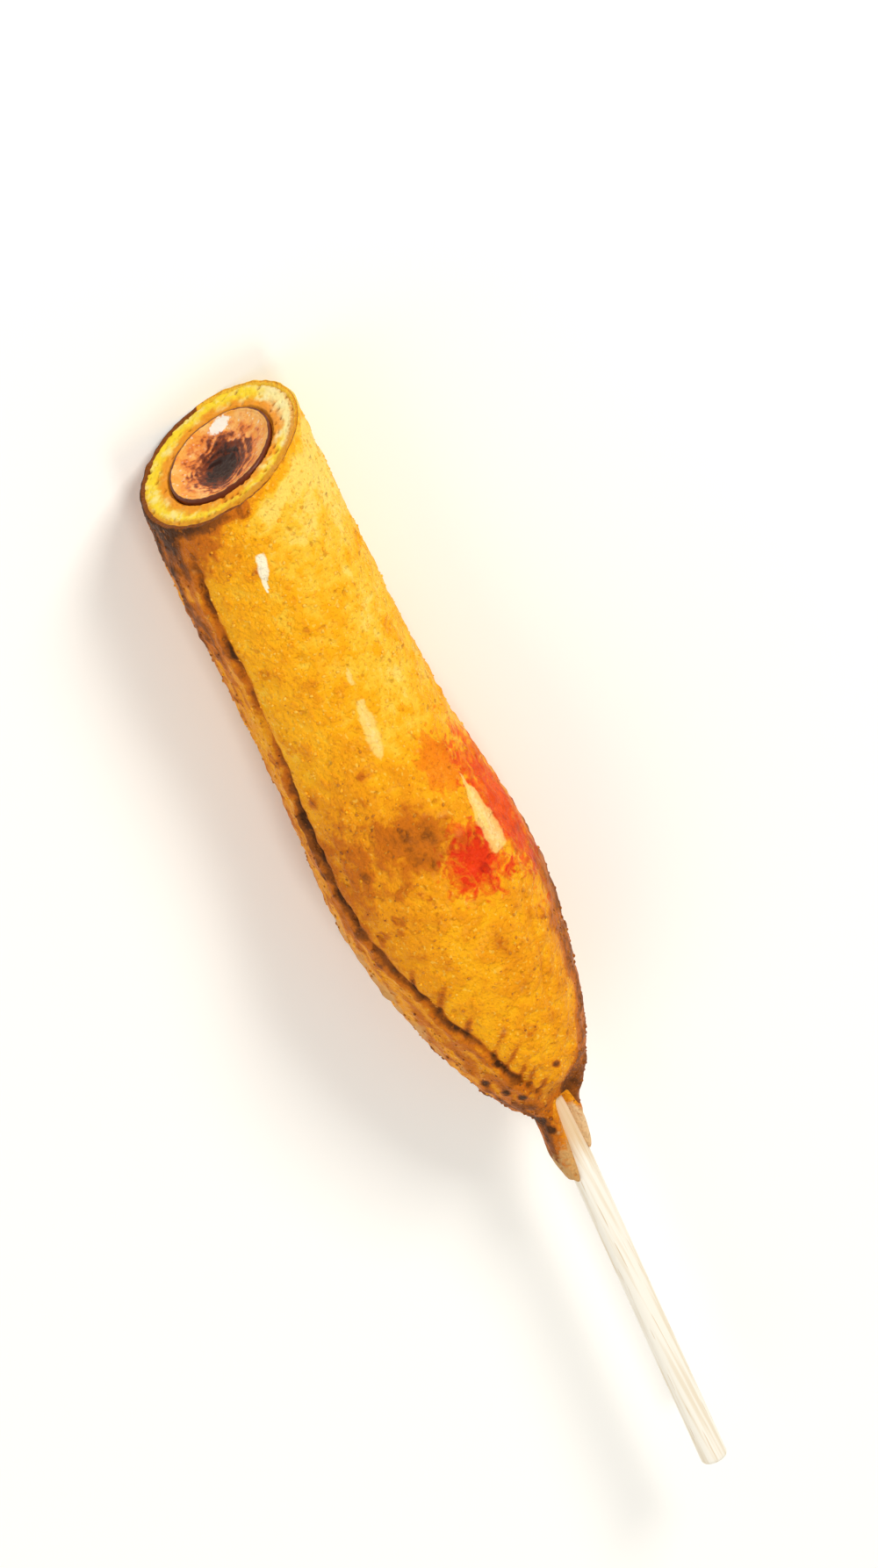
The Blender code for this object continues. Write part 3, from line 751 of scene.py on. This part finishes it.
# Sauce from another corn dog smeared its right side and soaked in with a feathered edge.
feather = {"Vector": place, "Scale": 1 / (2.6 * MM), "Detail": 7.0, "Distortion": 1.2}
feather = add(tree, "TexNoise", feather)
thin = add(tree, "Math", {0: mottle, 1: 0.7, 2: fine}, operation="MULTIPLY_ADD")
for middle, reach, orange, red in SAUCE_SMEARS:
    spot = {"Vector": place, "Location": middle, "Scale": reach}
    spot = add(tree, "Mapping", spot, vector_type="TEXTURE")
    spot = add(tree, "VectorMath", {0: spot}, operation="LENGTH")
    spot = add(tree, "Math", {0: feather, 1: 2.2, 2: spot}, operation="MULTIPLY_ADD")
    patchy = add(tree, "Math", {0: thin, 1: 0.45, 2: spot}, operation="MULTIPLY_ADD")
    colour = tinted(tree, colour, (
        (spot, 2.22, 1.90, orange, SAUCE_ORANGE),
        (patchy, 2.35, 1.85, red, SAUCE_RED),
    ), "MULTIPLY")
# The painted highlights lie over the sauce. Where the knife went through, the crust is dark only at
# its outside.
gold_inside = add(tree, "Math", {0: cut_crust, 1: edge}, operation="MULTIPLY")
colour = tinted(tree, colour, (
    (oil_and_highlight_edge, 0.55, 1.00, 0.68, HIGHLIGHT_PALE),
    (oil_and_highlight_edge, 1.12, 1.38, 0.45, HIGHLIGHT_LIGHT),
    (glint_edge, 0.55, 1.00, 0.88, GLINT_WHITE),
    (cut_crust, 0, 1, 1.0, CRUST_BROWN),
    (gold_inside, 0.22, 0.72, 1.0, CRUST_AMBER),
    (gold_inside, 0.77, 1.37, 1.0, CRUST_YELLOW),
))
tree.links.new(colour.outputs[2], shader.inputs["Base Color"])
oil = add(tree, "MapRange", {0: mottle, 1: 0.35, 2: 0.65, 3: 0.38, 4: 0.66})
oil = add(tree, "Math", {0: oil_and_highlight_edge, 1: -0.32, 2: oil}, operation="MULTIPLY_ADD")
oil = add(tree, "Math", {0: oil, 1: 0.1}, operation="ADD", use_clamp=True)
tree.links.new(oil.outputs[0], shader.inputs["Roughness"])
shader.inputs["Coat Weight"].default_value = 0.05
shader.inputs["Coat Roughness"].default_value = 0.25
pitted = add(tree, "MapRange", {0: pinholes, 1: 0.64, 2: 0.76, 4: -0.28})
height = add(tree, "Math", {0: fine, 1: pitted}, operation="ADD")
bump = add(tree, "Bump", {"Height": height, "Strength": 1.0, "Distance": 0.9 * MM})
tree.links.new(bump.outputs[0], shader.inputs["Normal"])
coat.data.materials.append(crust)
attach(coat, "root")
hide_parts("batter_coat")

# ---------------------------------------------------------------------------------------------
# Crumb. The inside of the batter, which the cut shows as a ring of open yellow cornbread round
# the sausage, stained orange where the meat's juice soaked in. A thin ring is spun, and its
# face is pricked with pores.
# ---------------------------------------------------------------------------------------------

CRUMB_SIDES = 340
CRUMB_RINGS = 42
CRUMB_SUNK = 0.15 * MM
PORE_DEPTH = 0.65  # mm
SMALL_PORE_DEPTH = 0.22

CRUMB_YELLOW = "FCDA2E"
CRUMB_LIGHT = "FEEB9C"
CRUMB_LIT_CREAM = "FAEDB6"
CRUMB_ORANGE = "F0921C"
PORE_SHADE_BROWN = "A8620F"
CRUMB_TOAST_AND_SHADE = "DC9016"


def crumb_outline():
    outer = CUT_RADIUS - CRUST_WIDTH + 0.15 * MM
    points = [(CRUMB_SUNK, radius) for radius in np.linspace(HOLE_RADIUS, outer, CRUMB_RINGS)]
    points += [(along, outer) for along in (0.8 * MM, RECESS)]
    points += [(RECESS, HOLE_RADIUS + 3 * MM), (RECESS, HOLE_RADIUS), (0.8 * MM, HOLE_RADIUS)]
    return points


crumb = spun("batter_crumb", crumb_outline(), CRUMB_SIDES)
points = points_of(crumb)
along = -points[:, 0]
radius = np.hypot(points[:, 1], points[:, 2])
across = (radius - HOLE_RADIUS) / (CUT_RADIUS - CRUST_WIDTH - HOLE_RADIUS)
on_face = along < CRUMB_SUNK + 0.05 * MM
points[:, 1:] *= 1 + (smooth_step(across, 0, 1) * lumps_at(points))[:, None]
flat = points * np.array((0, 1, 1))
away, luck = scatter(flat, 1.6 * MM, 3.3)
pore = (luck[:, 0] > 0.3) * np.exp(-((away / ((0.25 + 0.35 * luck[:, 1]) * MM)) ** 4))
away, luck = scatter(flat, 0.8 * MM, 7.1)
small_pore = (luck[:, 0] > 0.45) * np.exp(-((away / (0.2 * MM)) ** 4))
rough = 0.18 * noise_at(flat, 1.6 * MM, 1.9) + 0.11 * noise_at(flat, 0.6 * MM, 4.4)
depth = rough - PORE_DEPTH * pore - SMALL_PORE_DEPTH * small_pore
shrunk = -0.9 * (1 - smooth_step(across, 0.0, 0.13 + 0.05 * noise_at(flat, 3 * MM, 9.9)))
points[:, 0] += on_face * MM * (depth + shrunk)
set_value(crumb, "depth", np.where(on_face, depth, 0))
set_value(crumb, "across", across)
slant(points)
centre = coat_place(along)
points[:, 0] += CUT_MIDDLE.x
points[:, 1:] += centre[:, 1:]
set_points(crumb, points)

# Cornbread crumb: dry, soft and open, so it scatters light and has no shine. Its colour has painted
# light and shade: creamier towards the right, darker in the pores, and browner towards the crust and
# the top, partly toasting and partly painted shade.
cornbread, tree, shader = new_material("Cornbread crumb", 0.75, 0.25)
place = add(tree, "TexCoord").outputs["Object"]
across = add(tree, "Attribute", attribute_name="across").outputs["Fac"]
deep = add(tree, "Attribute", attribute_name="depth").outputs["Fac"]
mottle = add(tree, "TexNoise", {"Vector": place, "Scale": 1 / (2.4 * MM), "Detail": 5.0})
fine = add(tree, "TexNoise", {"Vector": place, "Scale": 1 / (0.5 * MM), "Detail": 3.0})
soaked = add(tree, "Math", {0: mottle, 1: 0.9, 2: across}, operation="MULTIPLY_ADD")
height = add(tree, "SeparateXYZ", {0: place}).outputs["Z"]
side = add(tree, "SeparateXYZ", {0: place}).outputs["Y"]
# Painted light: creamier towards the right edge of the face.
lit_cream = add(tree, "Math", {0: mottle, 1: 6 * MM, 2: 3 * MM}, operation="MULTIPLY_ADD")
lit_cream = add(tree, "Math", {0: lit_cream, 1: side}, operation="SUBTRACT")
# Browner towards the crust, as toasting, and towards the top, as painted shade under the rim.
toast_and_shade = add(tree, "Math", {0: fine, 1: 0.3, 2: across}, operation="MULTIPLY_ADD")
toast_and_shade = add(tree, "Math", {0: height, 1: 14.0, 2: toast_and_shade}, operation="MULTIPLY_ADD")
colour = tinted(tree, linear(CRUMB_YELLOW), (
    (mottle, 0.46, 0.70, 0.8, CRUMB_LIGHT),
    (lit_cream, 18.5 * MM, 22.0 * MM, 0.7, CRUMB_LIT_CREAM),
    (soaked, 1.08, 0.68, 0.90, CRUMB_ORANGE),
    # Painted shade: the deeper pores are darker.
    (deep, -0.10, -0.60, 0.55, PORE_SHADE_BROWN),
    (toast_and_shade, 1.18, 1.45, 0.9, CRUMB_TOAST_AND_SHADE),
))
tree.links.new(colour.outputs[2], shader.inputs["Base Color"])
bump = add(tree, "Bump", {"Height": fine, "Strength": 0.6, "Distance": 0.2 * MM})
tree.links.new(bump.outputs[0], shader.inputs["Normal"])
crumb.data.materials.append(cornbread)
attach(crumb, "root")
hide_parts("batter_coat")

# ---------------------------------------------------------------------------------------------
# Cornmeal grit. Coarse grains of the meal that stand out of the crust where the batter was thin.
# One grain is modelled, and copies of it, each turned and sized by chance, are sunk nearly halfway in.
# ---------------------------------------------------------------------------------------------

GRAIN_COUNT = 2200
GRAIN_SMALL = 0.22 * MM  # radius
GRAIN_LARGE = 0.50 * MM
GRAIN_SHAPE = (1.0, 0.8, 0.6)
GRAIN_PROUD = 0.1  # how far its middle is off the crust, as a share of its radius

MEAL_PALE = "F3C044"
MEAL_TOASTED = "C27A16"

deselect()
bpy.ops.mesh.primitive_ico_sphere_add(subdivisions=1, radius=1, scale=GRAIN_SHAPE)
grit = bpy.context.object
grit.name = grit.data.name = "cornmeal_grit"
bpy.ops.object.transform_apply(location=False, rotation=True, scale=True)
grain_points = points_of(grit)
grain_points *= (1 + 0.25 * noise_at(grain_points, 0.9, 4.0))[:, None]
grain_faces = np.array([face.vertices for face in grit.data.polygons])
chance = np.random.default_rng(20)
on_coat = points_of(coat)
facing = points_of(coat, "normal")
clear = outside & (coat_along > 1.5 * MM) & (coat_collar < 0.4) & (coat_oil_and_highlight < 0.2)
clear &= on_coat[:, 2] > 0.6 * MM
for middle, reach, orange, red in SAUCE_SMEARS:
    clear &= np.linalg.norm((on_coat - middle) / reach, axis=1) > 1.2
# A grain lands on the crust's point nearest to a place picked by chance, so that the order of the
# points doesn't matter, and it stays only where the crust is clear and no other grain lies.
nearest = kdtree.KDTree(len(on_coat))
for number, point in enumerate(on_coat):
    nearest.insert(point, number)
nearest.balance()
spots = []
while len(spots) < GRAIN_COUNT:
    along = chance.random() * COAT_LENGTH
    angle = chance.random() * 2 * math.pi
    radius = coat_radius(along)
    off_middle = np.array((CUT_MIDDLE.x, radius * math.sin(angle), radius * math.cos(angle)))
    spot = nearest.find(coat_place(np.array([along]))[0] + off_middle)[1]
    if clear[spot] and spot not in spots:
        spots.append(spot)
sizes = GRAIN_SMALL + (GRAIN_LARGE - GRAIN_SMALL) * chance.random(GRAIN_COUNT) ** 2.2
all_points = []
for spot, size in zip(spots, sizes):
    flat_on = Vector(facing[spot]).to_track_quat("Z", "Y").to_matrix()
    turn = flat_on @ Matrix.Rotation(chance.random() * 2 * math.pi, 3, "Z")
    middle = on_coat[spot] + facing[spot] * GRAIN_PROUD * size
    all_points.append(grain_points @ np.array(turn).T * size + middle)
grain_size = len(grain_points)
all_faces = np.concatenate([grain_faces + grain_size * number for number in range(GRAIN_COUNT)])
grit_mesh = bpy.data.meshes.new("cornmeal_grit")
grit_mesh.from_pydata(np.concatenate(all_points).tolist(), [], all_faces.tolist())
grit.data = grit_mesh
bpy.ops.object.shade_smooth()
set_value(grit, "toasting", np.repeat(chance.random(GRAIN_COUNT), grain_size))
set_value(grit, "under", np.repeat(coat_browning_and_painted_light[spots], grain_size))

# Cornmeal: hard, slightly glassy grains, from pale yellow to toasted like the crust round them,
# painted shade included.
meal, tree, shader = new_material("Fried cornmeal grain", 0.45, 0.3)
toasting = add(tree, "Attribute", attribute_name="toasting").outputs["Fac"]
under = add(tree, "Attribute", attribute_name="under").outputs["Fac"]
cooked = add(tree, "Math", {0: toasting, 1: 0.45, 2: under}, operation="MULTIPLY_ADD")
colour = tinted(tree, linear(MEAL_PALE), (
    (cooked, 0.45, 0.65, 1.0, CRUST_GOLD),
    (cooked, 0.65, 0.95, 1.0, MEAL_TOASTED),
    (cooked, 0.95, 1.20, 1.0, CRUST_BROWN),
))
tree.links.new(colour.outputs[2], shader.inputs["Base Color"])
place = add(tree, "TexCoord").outputs["Object"]
fine = add(tree, "TexNoise", {"Vector": place, "Scale": 1 / (0.3 * MM), "Detail": 2.0})
worn = add(tree, "MapRange", {0: fine, 1: 0.3, 2: 0.7, 3: 0.35, 4: 0.6})
tree.links.new(worn.outputs[0], shader.inputs["Roughness"])
grit.data.materials.append(meal)
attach(grit, "root")
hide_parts("batter_coat")

# ---------------------------------------------------------------------------------------------
# Set. A plain pale table top, a big soft lamp on the right of the corn dog, a weaker one on the
# left, and a camera that looks down on it with the cut towards the upper left.
# ---------------------------------------------------------------------------------------------

FLOOR_SIZE = 6.0
FLOOR_PALE = "FCFBF8"
LAMP_WARM = "FFFAF2"
LAMP_PALE = "FFFDF8"
ROOM_STRENGTH = 0.48
AIM = Vector((0.0344, -0.0095, 0.020))
CAMERA_DISTANCE = 1.5246
CAMERA_HEIGHT_ANGLE = math.radians(70)
CAMERA_ROLL = math.radians(151.9)
CAMERA_LENS = 180

deselect()
bpy.ops.mesh.primitive_plane_add(size=FLOOR_SIZE)
floor = bpy.context.object
floor.name = floor.data.name = "table_top"
table, tree, shader = new_material("Matt white laminate", 0.9, 0.2)
shader.inputs["Base Color"].default_value = linear(FLOOR_PALE)
floor.data.materials.append(table)


def soft_lamp(name, place, size, power, colour):
    """A square soft lamp that faces the middle of the corn dog."""
    bpy.ops.object.light_add(type="AREA", location=place)
    lamp = bpy.context.object
    lamp.name = lamp.data.name = name
    lamp.data.size = size
    lamp.data.energy = power
    lamp.data.color = linear(colour)[:3]
    lamp.rotation_euler = (Vector(place) - AIM).to_track_quat("Z", "Y").to_euler()


soft_lamp("key_lamp", (0.65, -0.80, 0.90), 0.45, 10.5, LAMP_WARM)
soft_lamp("top_lamp", (-0.37, -0.07, 1.12), 0.22, 2.6, LAMP_PALE)
soft_lamp("fill_lamp", (-0.2, 0.95, 0.7), 1.0, 4.2, LAMP_PALE)
room = bpy.data.worlds.new("soft_room")
room.use_nodes = True
glow = room.node_tree.nodes["Background"]
glow.inputs["Color"].default_value = linear(LAMP_PALE)
glow.inputs["Strength"].default_value = ROOM_STRENGTH
bpy.context.scene.world = room
bpy.context.scene.view_settings.view_transform = "Standard"

towards_camera = Vector((math.cos(CAMERA_HEIGHT_ANGLE), 0, math.sin(CAMERA_HEIGHT_ANGLE)))
bpy.ops.object.camera_add(location=AIM + towards_camera * CAMERA_DISTANCE)
camera = bpy.context.object
roll = Quaternion((0, 0, 1), CAMERA_ROLL)
camera.rotation_euler = (towards_camera.to_track_quat("Z", "Y") @ roll).to_euler()
camera.data.lens = CAMERA_LENS
bpy.context.scene.camera = camera
